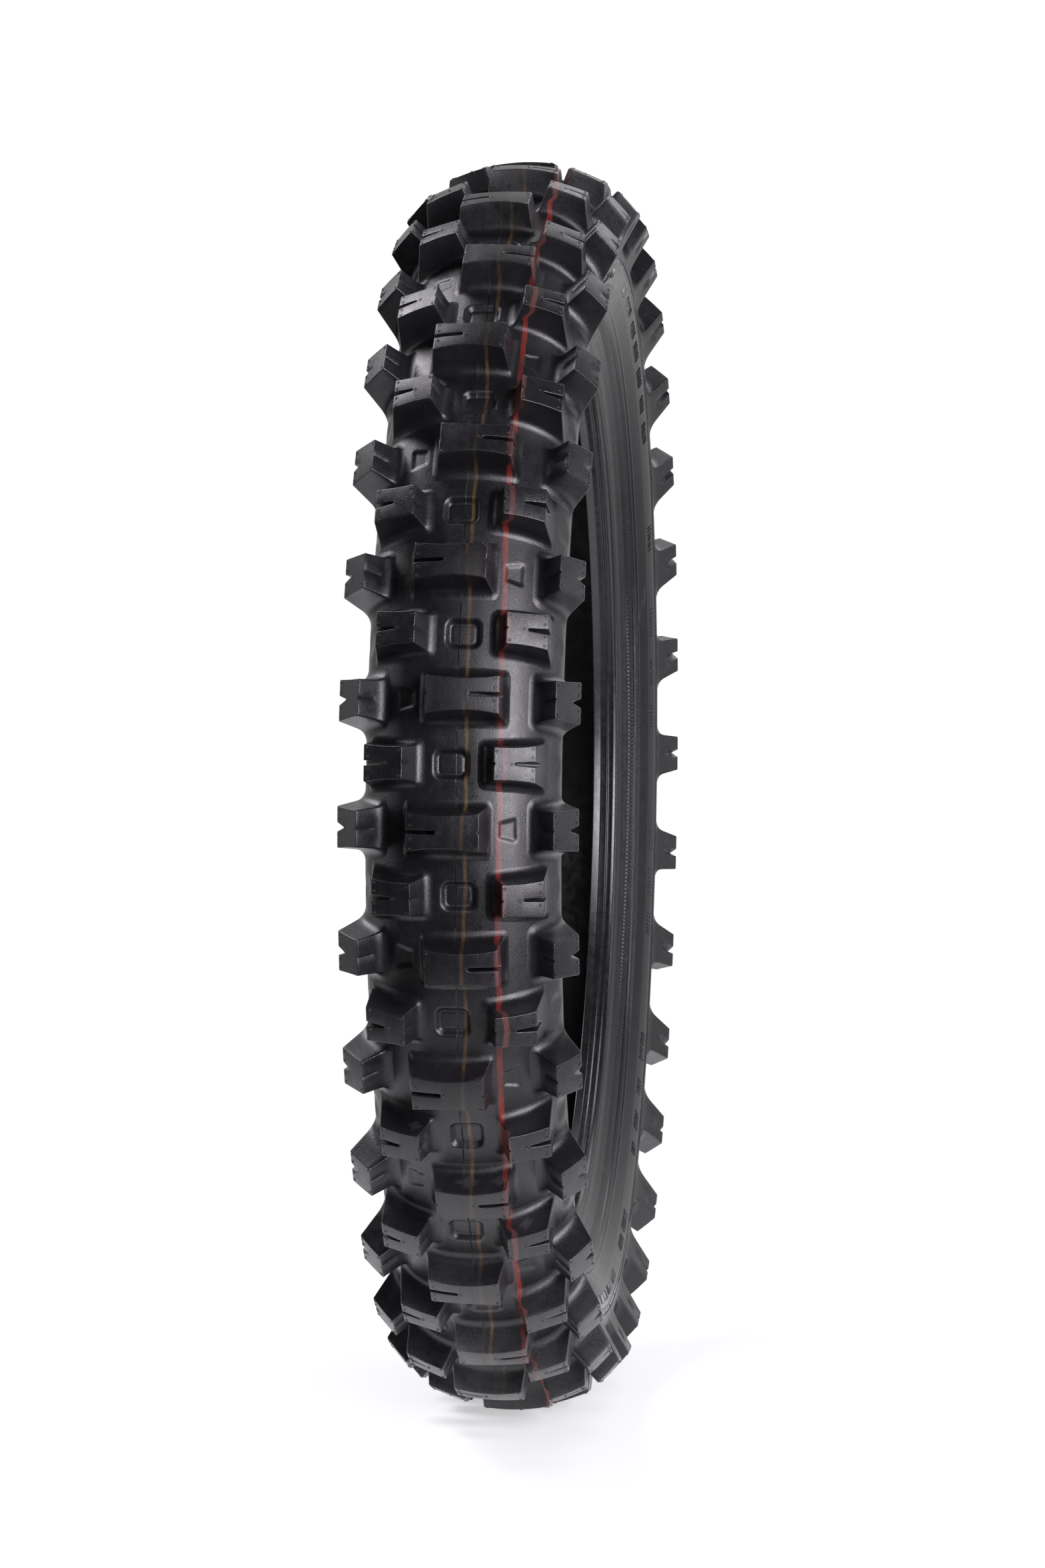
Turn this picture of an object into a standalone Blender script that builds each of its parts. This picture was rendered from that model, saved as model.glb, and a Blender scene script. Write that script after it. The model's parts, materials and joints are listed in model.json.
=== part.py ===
"""Knobby off-road motorcycle tire, unmounted, built layer by layer.

Metres, +Z up.  The origin is the tire's centre, the spin axis is +Y and the
tire stands on its tread.  theta is the angle from +X towards +Z.  Every layer
is a closed ring of its own: tread cap with its knobs, tread base, two breaker
plies, two carcass plies turned up round the bead cores, inner liner,
sidewalls, and in each bead a wire core, a wrap, a filler, a chafer strip and
a rim cushion.
"""
import math

import bmesh
import bpy
from mathutils import Vector

for ob in list(bpy.data.objects):
    bpy.data.objects.remove(ob, do_unlink=True)

MM = 0.001
ROWS = 32                       # wide-block rows, and as many narrow rows between
PITCH = 2.0 * math.pi / ROWS
R0 = 343.0                      # nominal outer radius, mm
SEGS = 28                       # facets of the turned layers
GAP = 0.3                       # clearance between neighbouring layers, mm

# ---------------------------------------------------------------- materials


def material(name, colour, rough, metal=0.0):
    mat = bpy.data.materials.new(name)
    mat.use_nodes = True
    bsdf = mat.node_tree.nodes["Principled BSDF"]
    bsdf.inputs["Base Color"].default_value = (*colour, 1.0)
    bsdf.inputs["Roughness"].default_value = rough
    bsdf.inputs["Metallic"].default_value = metal
    mat.diffuse_color = (*colour, 1.0)
    return mat


def finish(bm, name, mat, angle=30.0):
    """Turn a bmesh into a named object, outward facing, smooth but sharp-edged."""
    bmesh.ops.remove_doubles(bm, verts=bm.verts, dist=1e-7)
    bmesh.ops.recalc_face_normals(bm, faces=bm.faces)
    mesh = bpy.data.meshes.new(name)
    bm.to_mesh(mesh)
    bm.free()
    ob = bpy.data.objects.new(name, mesh)
    bpy.context.scene.collection.objects.link(ob)
    mesh.materials.append(mat)
    mesh.shade_smooth()
    mesh.set_sharp_from_angle(angle=math.radians(angle))
    return ob


# ------------------------------------------------------------ turned rings


def ring(name, section, mat):
    """Spin a closed (y, r) outline, in mm, round the Y axis."""
    bm = bmesh.new()
    verts = [bm.verts.new((r * MM, y * MM, 0.0)) for y, r in section]
    edges = [bm.edges.new((verts[i], verts[(i + 1) % len(verts)]))
             for i in range(len(verts))]
    bmesh.ops.spin(bm, geom=verts + edges, cent=(0, 0, 0), axis=(0, -1, 0),
                   dvec=(0, 0, 0), angle=2 * math.pi, steps=SEGS,
                   use_merge=True, use_normal_flip=False, use_duplicate=False)
    return finish(bm, name, mat)


def offset(path, dist):
    """Offset an open (y, r) path to its right-hand side by dist (mitred)."""
    out = []
    n = len(path)
    for i in range(n):
        dirs = []
        if i > 0:
            dy, dr = path[i][0] - path[i - 1][0], path[i][1] - path[i - 1][1]
            dirs.append((dy, dr))
        if i < n - 1:
            dy, dr = path[i + 1][0] - path[i][0], path[i + 1][1] - path[i][1]
            dirs.append((dy, dr))
        norms = []
        for dy, dr in dirs:
            ln = math.hypot(dy, dr)
            norms.append((dr / ln, -dy / ln))
        if len(norms) == 1:
            ny, nr = norms[0]
            k = 1.0
        else:
            ny, nr = norms[0][0] + norms[1][0], norms[0][1] + norms[1][1]
            ln = math.hypot(ny, nr)
            ny, nr = ny / ln, nr / ln
            k = 1.0 / max(0.45, ny * norms[0][0] + nr * norms[0][1])
        out.append((path[i][0] + ny * dist * k, path[i][1] + nr * dist * k))
    return out


def lane(path, d0, d1):
    """Closed section between two offsets of a path."""
    return offset(path, d0) + offset(path, d1)[::-1]


def mirrored(section):
    return [(-y, r) for y, r in section[::-1]]


def whole(half):
    """Half path from the crown to the right bead, made bead to bead."""
    left = [(-y, r) for y, r in half[:0:-1]]
    return left + half


# The plies' path, crown to right-hand turn-up: outer face of the outer ply,
# down the inside of the bead core, under it and up its outer side.
CROWN = [(0.0, 318.0), (20.5, 315.2), (33.4, 307.6), (41.0, 298.6),
         (43.2, 288.5), (40.6, 278.0), (34.6, 268.3)]
BEAD_IN = [(24.3, 259.3), (17.4, 252.2), (17.4, 247.6)]
BEAD_UNDER = [(18.9, 245.9), (22.3, 245.9), (24.0, 247.8)]
TURN_UP = [(24.6, 253.6)]

# path runs left bead -> crown -> right bead, so its right-hand side is the
# cavity side, and round the bead core it is the side away from the core
ply2 = whole(CROWN + BEAD_IN + BEAD_UNDER + TURN_UP + [(27.6, 258.8)])
ply1 = whole(CROWN + BEAD_IN + BEAD_UNDER + TURN_UP + [(29.0, 261.0)])
liner = whole(CROWN + BEAD_IN)

PLY = 0.7
carcass_mat = material("carcass_cord", (0.10, 0.085, 0.065), 0.7)
ring("carcass_ply_outer", lane(ply2, 0.0, PLY), carcass_mat)
ring("carcass_ply_inner", lane(ply1, PLY + GAP, 2 * PLY + GAP),
     material("carcass_cord_inner", (0.095, 0.08, 0.06), 0.7))
ring("inner_liner", lane(liner, 2 * (PLY + GAP), 2 * (PLY + GAP) + 0.6),
     material("liner_rubber", (0.020, 0.020, 0.022), 0.45))

# breaker plies and tread base lie on the crown, outside the carcass
belt = whole(CROWN[:3])
belt_wide = whole(CROWN[:3] + [(36.6, 303.8)])
ring("breaker_ply_inner", lane(belt_wide, -(GAP + 1.0), -GAP),
     material("breaker_cord", (0.12, 0.10, 0.07), 0.7))
ring("breaker_ply_outer", lane(belt, -(2 * GAP + 2.0), -(2 * GAP + 1.0)),
     material("breaker_cord_outer", (0.13, 0.11, 0.08), 0.7))

# ------------------------------------------------------------------- beads
CORE = [(18.5, 247.8), (19.6, 247.0), (21.8, 247.0), (22.9, 247.8),
        (22.9, 251.1), (21.8, 251.9), (19.6, 251.9), (18.5, 251.1)]
WRAP_IN = [(18.2, 252.2), (18.2, 247.65), (19.45, 246.7), (21.95, 246.7),
           (23.2, 247.65), (23.2, 252.2)]
WRAP_OUT = [(17.75, 252.2), (17.75, 247.45), (19.3, 246.25), (22.1, 246.25),
            (23.6, 247.95), (23.6, 252.2)]
FILLER = [(18.35, 252.6), (23.85, 252.6), (25.55, 256.3), (27.0, 258.7),
          (26.9, 260.9), (24.75, 258.9)]
CHAFER_PATH = BEAD_UNDER + TURN_UP + [(25.2, 254.7)]
CHAFER = lane([(18.2, 246.7)] + CHAFER_PATH, 2 * (PLY + GAP),
              2 * (PLY + GAP) + 0.6)
CUSHION_IN = offset([(17.9, 247.05)] + CHAFER_PATH, 2 * (PLY + GAP) + 0.9)
CUSHION = ([(13.4, 240.2), (26.2, 241.3), (28.1, 242.9), (28.1, 249.4),
            (29.7, 253.6), (31.6, 256.6)]
           + [(29.4, 256.6)] + CUSHION_IN[::-1][0:5] + [(15.2, 244.0), (14.3, 245.6)])

wire_mat = material("bead_wire", (0.55, 0.50, 0.42), 0.35, 1.0)
wrap_mat = material("bead_wrap_fabric", (0.14, 0.12, 0.09), 0.8)
fill_mat = material("bead_filler_rubber", (0.03, 0.03, 0.032), 0.6)
chaf_mat = material("chafer_fabric", (0.06, 0.055, 0.05), 0.75)
cush_mat = material("rim_cushion_rubber", (0.028, 0.028, 0.032), 0.5)
for side, flip in (("right", False), ("left", True)):
    for label, sec, mat in (("bead_core", CORE, wire_mat),
                            ("bead_wrap", WRAP_IN + WRAP_OUT[::-1], wrap_mat),
                            ("bead_filler", FILLER, fill_mat),
                            ("chafer", CHAFER, chaf_mat),
                            ("rim_cushion", CUSHION, cush_mat)):
        own = mat.copy()
        own.name = "%s_%s" % (mat.name, side)
        ring("%s_%s" % (label, side), mirrored(sec) if flip else sec, own)

# --------------------------------------------------------------- sidewalls
# outer skin of the casing, crown to rim line
SKIN = [(0.0, 326.2), (20.6, 323.4), (34.3, 316.0), (43.4, 306.6),
        (47.2, 297.0), (47.6, 290.6)]
SIDE_OUT = [(47.6, 290.0), (46.6, 284.0), (43.6, 275.4), (38.4, 266.6),
            (34.0, 260.4), (31.75, 256.95)]
SIDE_IN = [(29.7, 256.95), (30.8, 259.6), (31.9, 262.6), (35.1, 267.7),
           (41.2, 277.7), (43.7, 288.4), (41.6, 298.4), (45.2, 297.4),
           (45.8, 290.0)]
SIDEWALL = SIDE_OUT + SIDE_IN
side_mat = material("sidewall_rubber_right", (0.034, 0.033, 0.038), 0.45)
ring("sidewall_right", SIDEWALL, side_mat)
side_left = side_mat.copy()
side_left.name = "sidewall_rubber_left"
ring("sidewall_left", mirrored(SIDEWALL), side_left)

# -------------------------------------------------------------- tread base
base_path = whole([(0.0, 318.0), (20.5, 315.2), (33.4, 307.6), (37.4, 302.9)])
BASE_D = 3 * GAP + 2.0
ring("tread_base", lane(base_path, -(BASE_D + 1.3), -BASE_D),
     material("tread_base_rubber", (0.03, 0.03, 0.033), 0.6))

# --------------------------------------------------------------- tread cap
# Knob tops, in units of R0: (half width y, radius) and half angles.
C_SLOT, C_PLAIN = (0.0645, 0.9945), (0.0397, 0.9945)
C_ANG = (math.radians(1.59), math.radians(1.59))
S_IN, S_OUT = (0.1400, 0.9495), (0.1725, 0.9125)
S_ANG = (math.radians(1.60), math.radians(1.89))
B_IN, B_OUT = (0.0649, 0.9866), (0.1224, 0.9640)
B_ANG = (math.radians(1.37), math.radians(1.59))
B_SHIFT = 0.0062
A_HALF = math.radians(2.45)     # knob foot half angles
B_HALF = math.radians(2.20)


def skin_r(y):
    """Casing radius in mm under the knobs at half width y (mm)."""
    y = abs(y)
    for (y0, r0), (y1, r1) in zip(SKIN, SKIN[1:]):
        if y <= y1:
            return r0 + (r1 - r0) * (y - y0) / (y1 - y0)
    return SKIN[-1][1]


def pt(theta, y, r):
    return (r * MM * math.cos(theta), y * MM, r * MM * math.sin(theta))


def a_row(parity):
    """Foot outline stations (y, r) of a wide-block row; parity +1: slot at +Y."""
    lo, hi = (C_PLAIN, C_SLOT) if parity > 0 else (C_SLOT, C_PLAIN)
    ys = [-(lo[0] * R0 + 3.2), hi[0] * R0 + 3.2]
    feet = [(-47.6, 290.6), (-47.5, 293.2), (-37.0, None), (ys[0], None),
            (ys[1], None), (37.0, None), (47.5, 293.2), (47.6, 290.6)]
    return [(y, skin_r(y) if r is None else r) for y, r in feet]


def b_row(shift):
    ys = [-47.6, -(B_OUT[0] * R0 + 1.4) + shift, -(B_IN[0] * R0 - 5.2) + shift,
          B_IN[0] * R0 - 5.2 + shift, B_OUT[0] * R0 + 1.4 + shift, 47.6]
    rows = [(y, skin_r(y)) for y in ys]
    rows[0] = (-47.6, 290.6)
    rows[-1] = (47.6, 290.6)
    rows.insert(3, (0.0, SKIN[0][1]))
    return rows


bm = bmesh.new()


def line(theta, stations):
    return [bm.verts.new(pt(theta, y, r)) for y, r in stations]


def zipper(la, lb):
    """Triangles between two station lines that run the same way."""
    i = j = 0
    while i < len(la) - 1 or j < len(lb) - 1:
        if j == len(lb) - 1:
            step_a = True
        elif i == len(la) - 1:
            step_a = False
        else:
            da = (la[i + 1].co - lb[j].co).length
            db = (la[i].co - lb[j + 1].co).length
            step_a = da < db
        if step_a:
            bm.faces.new((la[i], la[i + 1], lb[j]))
            i += 1
        else:
            bm.faces.new((la[i], lb[j + 1], lb[j]))
            j += 1


def knob(face, corners):
    """Extrude one foot face and move its corners to the knob's top."""
    res = bmesh.ops.extrude_discrete_faces(bm, faces=[face])
    top = res["faces"][0]
    for v in top.verts:
        best = min(corners, key=lambda c: (v.co - c[0]).length)
        v.co = best[1]


def strip(theta, half, stations, knobs):
    """One row: two station lines, quads between them, knobs on some quads."""
    lo = line(theta - half, stations)
    hi = line(theta + half, stations)
    for k in range(len(stations) - 1):
        face = bm.faces.new((lo[k], lo[k + 1], hi[k + 1], hi[k]))
        if k in knobs:
            (y0, r0, a0), (y1, r1, a1) = knobs[k]
            corners = [(lo[k].co.copy(), Vector(pt(theta - a0, y0 * R0, r0 * R0))),
                       (lo[k + 1].co.copy(), Vector(pt(theta - a1, y1 * R0, r1 * R0))),
                       (hi[k].co.copy(), Vector(pt(theta + a0, y0 * R0, r0 * R0))),
                       (hi[k + 1].co.copy(), Vector(pt(theta + a1, y1 * R0, r1 * R0)))]
            knob(face, corners)
    return lo, hi


lines = []
THETA_A = -math.pi / 2           # a wide block's top lies flat at the bottom
for k in range(ROWS):
    # wide-block row, then the narrow row half a pitch on
    ta = THETA_A + k * PITCH
    par = -1 if k % 2 == 0 else 1
    s = B_SHIFT * par
    lo, hi = (C_PLAIN, C_SLOT) if par > 0 else (C_SLOT, C_PLAIN)
    alo, ahi = (C_ANG[1], C_ANG[0]) if par > 0 else C_ANG
    knobs_a = {1: ((-S_OUT[0], S_OUT[1], S_ANG[1]), (-S_IN[0], S_IN[1], S_ANG[0])),
               3: ((-lo[0], lo[1], alo), (hi[0], hi[1], ahi)),
               5: ((S_IN[0], S_IN[1], S_ANG[0]), (S_OUT[0], S_OUT[1], S_ANG[1]))}
    lines.append(strip(ta, A_HALF, a_row(par), knobs_a))
    tb = ta + PITCH / 2
    knobs_b = {1: ((-B_OUT[0] + s, B_OUT[1], B_ANG[1]), (-B_IN[0] + s, B_IN[1], B_ANG[0])),
               4: ((B_IN[0] + s, B_IN[1], B_ANG[0]), (B_OUT[0] + s, B_OUT[1], B_ANG[1]))}
    lines.append(strip(tb, B_HALF, b_row(s * R0), knobs_b))
for i in range(len(lines)):
    zipper(lines[i][1], lines[(i + 1) % len(lines)][0])

# inner face of the cap: a turned strip of SEGS facets, its ends on the
# shoulder edges
CAP_IN = whole([(0.0, 322.8), (21.5, 319.9), (36.6, 311.2), (42.6, 303.4),
                (45.5, 297.9), (46.1, 290.6)])
inner = []
for k in range(SEGS):
    th = THETA_A + 2 * math.pi * k / SEGS
    inner.append(line(th, CAP_IN))
for k in range(SEGS):
    a, b = inner[k], inner[(k + 1) % SEGS]
    for j in range(len(CAP_IN) - 1):
        bm.faces.new((a[j], b[j], b[j + 1], a[j + 1]))


def angle_of(v):
    return math.atan2(v.co.z, v.co.x)


def close_edge(outer_loop, inner_loop):
    """Triangles between the outer and inner shoulder edges, both by angle."""
    def unwrap(loop):
        out, last = [], None
        for v in loop:
            a = angle_of(v)
            if last is not None:
                while a < last - 1e-9:
                    a += 2 * math.pi
            out.append((a, v))
            last = a
        return out
    o = unwrap(outer_loop)
    n = unwrap(inner_loop)
    shift = round((o[0][0] - n[0][0]) / (2 * math.pi)) * 2 * math.pi
    n = [(a + shift, v) for a, v in n]
    o.append((o[0][0] + 2 * math.pi, o[0][1]))
    n.append((n[0][0] + 2 * math.pi, n[0][1]))
    i = j = 0
    while i < len(o) - 1 or j < len(n) - 1:
        if j == len(n) - 1:
            step = True
        elif i == len(o) - 1:
            step = False
        else:
            step = o[i + 1][0] - n[j][0] < n[j + 1][0] - o[i][0]
        if step:
            bm.faces.new((o[i][1], o[i + 1][1], n[j][1]))
            i += 1
        else:
            bm.faces.new((o[i][1], n[j + 1][1], n[j][1]))
            j += 1


for end in (0, -1):
    outer_loop = []
    for lo_line, hi_line in lines:
        outer_loop += [lo_line[end], hi_line[end]]
    close_edge(outer_loop, [ln[end] for ln in inner])

finish(bm, "tread_cap", material("tread_rubber", (0.022, 0.022, 0.026), 0.42), 20.0)
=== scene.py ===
"""Knobby off-road tire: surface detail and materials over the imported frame."""
import json
import math

import bpy
import numpy as np
from mathutils import Matrix, Vector

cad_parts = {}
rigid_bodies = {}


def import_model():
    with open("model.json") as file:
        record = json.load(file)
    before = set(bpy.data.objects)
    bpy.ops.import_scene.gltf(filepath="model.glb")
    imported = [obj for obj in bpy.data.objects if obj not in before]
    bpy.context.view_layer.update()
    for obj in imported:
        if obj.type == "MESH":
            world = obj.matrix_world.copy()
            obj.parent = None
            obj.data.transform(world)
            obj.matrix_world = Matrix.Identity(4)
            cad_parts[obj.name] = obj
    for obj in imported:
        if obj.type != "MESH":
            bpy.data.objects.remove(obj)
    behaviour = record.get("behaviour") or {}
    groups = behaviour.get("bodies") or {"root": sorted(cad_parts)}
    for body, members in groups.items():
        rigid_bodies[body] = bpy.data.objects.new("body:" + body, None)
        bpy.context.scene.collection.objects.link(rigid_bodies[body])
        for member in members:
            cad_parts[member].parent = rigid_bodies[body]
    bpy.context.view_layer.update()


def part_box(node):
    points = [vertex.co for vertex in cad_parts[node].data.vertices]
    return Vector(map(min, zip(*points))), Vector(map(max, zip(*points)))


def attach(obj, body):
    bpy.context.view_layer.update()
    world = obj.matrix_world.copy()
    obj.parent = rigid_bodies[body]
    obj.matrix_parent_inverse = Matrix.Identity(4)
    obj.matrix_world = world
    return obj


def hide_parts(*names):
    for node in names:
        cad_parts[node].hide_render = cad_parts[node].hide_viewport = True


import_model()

RNG = np.random.default_rng(11)

# ------------------------------------------------------------------ numbers
MM = 0.001
ROWS = 32
PITCH = 2 * math.pi / ROWS
TH_A = -math.pi / 2                 # a wide block's top lies at the bottom
R0 = 343.0
TOP_R = -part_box("tread_cap")[0][2] / MM + 0.35   # crown radius of wide blocks, mm
B_SHIFT = 0.0062 * R0

# ----------------------------------------------------------- mesh gathering


class Mesh:
    """Collects vertices (metres) and faces, then becomes one object."""

    def __init__(self):
        self.v, self.f, self.n = [], [], 0

    def add(self, verts, faces, flip=False):
        verts = np.asarray(verts, float)
        base = self.n
        self.v.append(verts)
        if flip:
            self.f.extend([tuple(base + i for i in reversed(f)) for f in faces])
        else:
            self.f.extend([tuple(base + i for i in f) for f in faces])
        self.n += len(verts)

    def grid(self, pts, wrap_i=False, wrap_j=False, flip=False):
        """pts[i, j] -> quads."""
        ni, nj = pts.shape[:2]
        idx = np.arange(ni * nj).reshape(ni, nj)
        a = idx if wrap_i else idx[:-1]
        b = np.roll(idx, -1, 0) if wrap_i else idx[1:]
        if wrap_j:
            q = np.stack([a, b, np.roll(b, -1, 1), np.roll(a, -1, 1)], -1)
        else:
            q = np.stack([a[:, :-1], b[:, :-1], b[:, 1:], a[:, 1:]], -1)
        q = q.reshape(-1, 4)
        if flip:
            q = q[:, ::-1]
        base = self.n
        self.v.append(pts.reshape(-1, 3))
        self.f.extend(map(tuple, (q + base).tolist()))
        self.n += ni * nj

    def obj(self, name, mat, angle=35.0):
        me = bpy.data.meshes.new(name)
        me.from_pydata(np.concatenate(self.v).tolist(), [], self.f)
        me.materials.append(mat)
        me.validate()
        me.update()
        me.shade_smooth()
        me.set_sharp_from_angle(angle=math.radians(angle))
        ob = bpy.data.objects.new(name, me)
        bpy.context.scene.collection.objects.link(ob)
        return ob


def turn(y, r, th):
    """(y, r) in mm and angle -> metres."""
    return np.stack(np.broadcast_arrays(r * np.cos(th), y, r * np.sin(th)), -1) * MM


def spin(mesh, section, segs):
    """Closed (y, r) section, counter-clockwise with y right and r up."""
    sec = np.asarray(section, float)
    x, y = sec[:, 0], sec[:, 1]
    area = np.sum(x * np.roll(y, -1) - np.roll(x, -1) * y)
    th = np.linspace(0, 2 * math.pi, segs, endpoint=False)
    pts = turn(sec[None, :, 0], sec[None, :, 1], th[:, None])
    mesh.grid(pts, wrap_i=True, wrap_j=True, flip=area < 0)


def dense(path, step):
    """Open path resampled at about step."""
    p = np.asarray(path, float)
    out = [p[0]]
    for a, b in zip(p, p[1:]):
        n = max(1, int(round(np.hypot(*(b - a)) / step)))
        out += [a + (b - a) * k / n for k in range(1, n + 1)]
    return np.array(out)


def rounded(path, radius, pts=4):
    """Open path with its inner corners rounded by short arcs."""
    p = np.asarray(path, float)
    out = [p[0]]
    for a, b, c in zip(p, p[1:], p[2:]):
        la, lc = np.hypot(*(a - b)), np.hypot(*(c - b))
        k = min(radius, la * 0.45, lc * 0.45)
        p0, p2 = b + (a - b) / la * k, b + (c - b) / lc * k
        for t in np.linspace(0, 1, pts):
            out.append((1 - t) ** 2 * p0 + 2 * t * (1 - t) * b + t * t * p2)
    out.append(p[-1])
    return np.array(out)


def smooth_path(ctrl, sigma, step=0.25):
    c = np.array(ctrl, float)
    d = np.r_[0, np.cumsum(np.hypot(*np.diff(c, axis=0).T))]
    s = np.linspace(0, d[-1], int(d[-1] / step) + 1)
    p = np.c_[np.interp(s, d, c[:, 0]), np.interp(s, d, c[:, 1])]
    k = int(4 * sigma / step)
    x = np.arange(-k, k + 1) * step
    w = np.exp(-0.5 * (x / sigma) ** 2)
    w /= w.sum()
    q = np.r_[2 * p[0] - p[k:0:-1], p, 2 * p[-1] - p[-2:-k - 2:-1]]
    return np.c_[np.convolve(q[:, 0], w, "valid"), np.convolve(q[:, 1], w, "valid")]


# --------------------------------------------------------- casing's profile
HALF = [(0, 326.3), (10.5, 325.7), (20.6, 323.6), (28.2, 320.3), (34.4, 316.2),
        (39.7, 311.4), (43.7, 306.6), (46.4, 301.6), (47.7, 297.0), (48.2, 290.6),
        (47.1, 284.0), (43.9, 275.4), (38.6, 266.6), (34.2, 260.6), (31.7, 256.8)]
CAS = smooth_path([(-y, r) for y, r in HALF[:0:-1]] + HALF, 2.2)
_d = np.r_[0, np.cumsum(np.hypot(*np.diff(CAS, axis=0).T))]
CAS_S = _d - np.interp(0.0, CAS[:, 0][np.argsort(CAS[:, 0])], _d[np.argsort(CAS[:, 0])])
_tan = np.gradient(CAS, CAS_S, axis=0)
_tan /= np.hypot(_tan[:, 0], _tan[:, 1])[:, None]
CAS_N = np.c_[-_tan[:, 1], _tan[:, 0]]


def cas(s):
    return np.interp(s, CAS_S, CAS[:, 0]), np.interp(s, CAS_S, CAS[:, 1])


def cas_n(s):
    return np.interp(s, CAS_S, CAS_N[:, 0]), np.interp(s, CAS_S, CAS_N[:, 1])


def s_at_y(y):
    """Path length where the half width is y, on the tread side."""
    m = (CAS_S >= 0) & (CAS[:, 1] > 294)
    return math.copysign(float(np.interp(abs(y), CAS[m, 0], CAS_S[m])), y)


def s_at_r(r):
    """Path length on the right sidewall where the radius is r."""
    m = CAS_S > 20
    return float(np.interp(-r, -CAS[m, 1], CAS_S[m]))


def on_casing(s, th, lift=0.0):
    y, r = cas(s)
    ny, nr = cas_n(s)
    return turn(y + ny * lift, r + nr * lift, th)


def wander(th):
    """Sideways drift of the mould parting line, mm."""
    return (0.45 * np.sin(3 * th + 1.0) + 0.35 * np.sin(8 * th + 2.1)
            + 0.28 * np.sin(21 * th + 0.4) + 0.16 * np.sin(57 * th))


WANDER = ((0.45, 3, 1.0), (0.35, 8, 2.1), (0.28, 21, 0.4), (0.16, 57, 0.0))

# ------------------------------------------------------------ node materials


class Tree:
    def __init__(self, name):
        self.mat = bpy.data.materials.new(name)
        self.mat.use_nodes = True
        self.t = self.mat.node_tree
        self.b = self.t.nodes["Principled BSDF"]
        tc = self.t.nodes.new("ShaderNodeTexCoord")
        self.co = tc.outputs["Object"]
        sep = self.t.nodes.new("ShaderNodeSeparateXYZ")
        self.t.links.new(self.co, sep.inputs[0])
        self.x, self.y, self.z = sep.outputs

    def put(self, sock, val):
        if hasattr(val, "is_output"):
            self.t.links.new(val, sock)
        else:
            sock.default_value = val

    def m(self, op, a, b=0.0, c=0.0, clamp=False):
        n = self.t.nodes.new("ShaderNodeMath")
        n.operation = op
        n.use_clamp = clamp
        for s, v in zip(n.inputs, (a, b, c)):
            self.put(s, v)
        return n.outputs[0]

    def noise(self, scale, detail=2.0, rough=0.5, vec=None, stretch=None):
        n = self.t.nodes.new("ShaderNodeTexNoise")
        vec = vec or self.co
        if stretch:
            mp = self.t.nodes.new("ShaderNodeMapping")
            self.put(mp.inputs["Vector"], vec)
            mp.inputs["Scale"].default_value = stretch
            vec = mp.outputs[0]
        self.put(n.inputs["Vector"], vec)
        n.inputs["Scale"].default_value = scale
        n.inputs["Detail"].default_value = detail
        n.inputs["Roughness"].default_value = rough
        return n.outputs["Fac"]

    def ramp(self, fac, lo, hi, a=0.0, b=1.0):
        n = self.t.nodes.new("ShaderNodeMapRange")
        n.interpolation_type = "SMOOTHSTEP"
        self.put(n.inputs["Value"], fac)
        for k, v in (("From Min", lo), ("From Max", hi), ("To Min", a), ("To Max", b)):
            n.inputs[k].default_value = v
        return n.outputs["Result"]

    def mix(self, fac, a, b):
        n = self.t.nodes.new("ShaderNodeMix")
        n.data_type = "RGBA"
        self.put(n.inputs[0], fac)
        for s, v in ((n.inputs[6], a), (n.inputs[7], b)):
            self.put(s, (*v, 1.0) if isinstance(v, tuple) else v)
        return n.outputs[2]

    def bump(self, height, strength, dist, normal=None):
        n = self.t.nodes.new("ShaderNodeBump")
        self.put(n.inputs["Height"], height)
        n.inputs["Strength"].default_value = strength
        n.inputs["Distance"].default_value = dist
        if normal is not None:
            self.put(n.inputs["Normal"], normal)
        return n.outputs[0]

    def theta(self):
        return self.m("ARCTAN2", self.z, self.x)

    def radius(self):
        return self.m("SQRT", self.m("ADD", self.m("MULTIPLY", self.x, self.x),
                                     self.m("MULTIPLY", self.z, self.z)))


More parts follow.
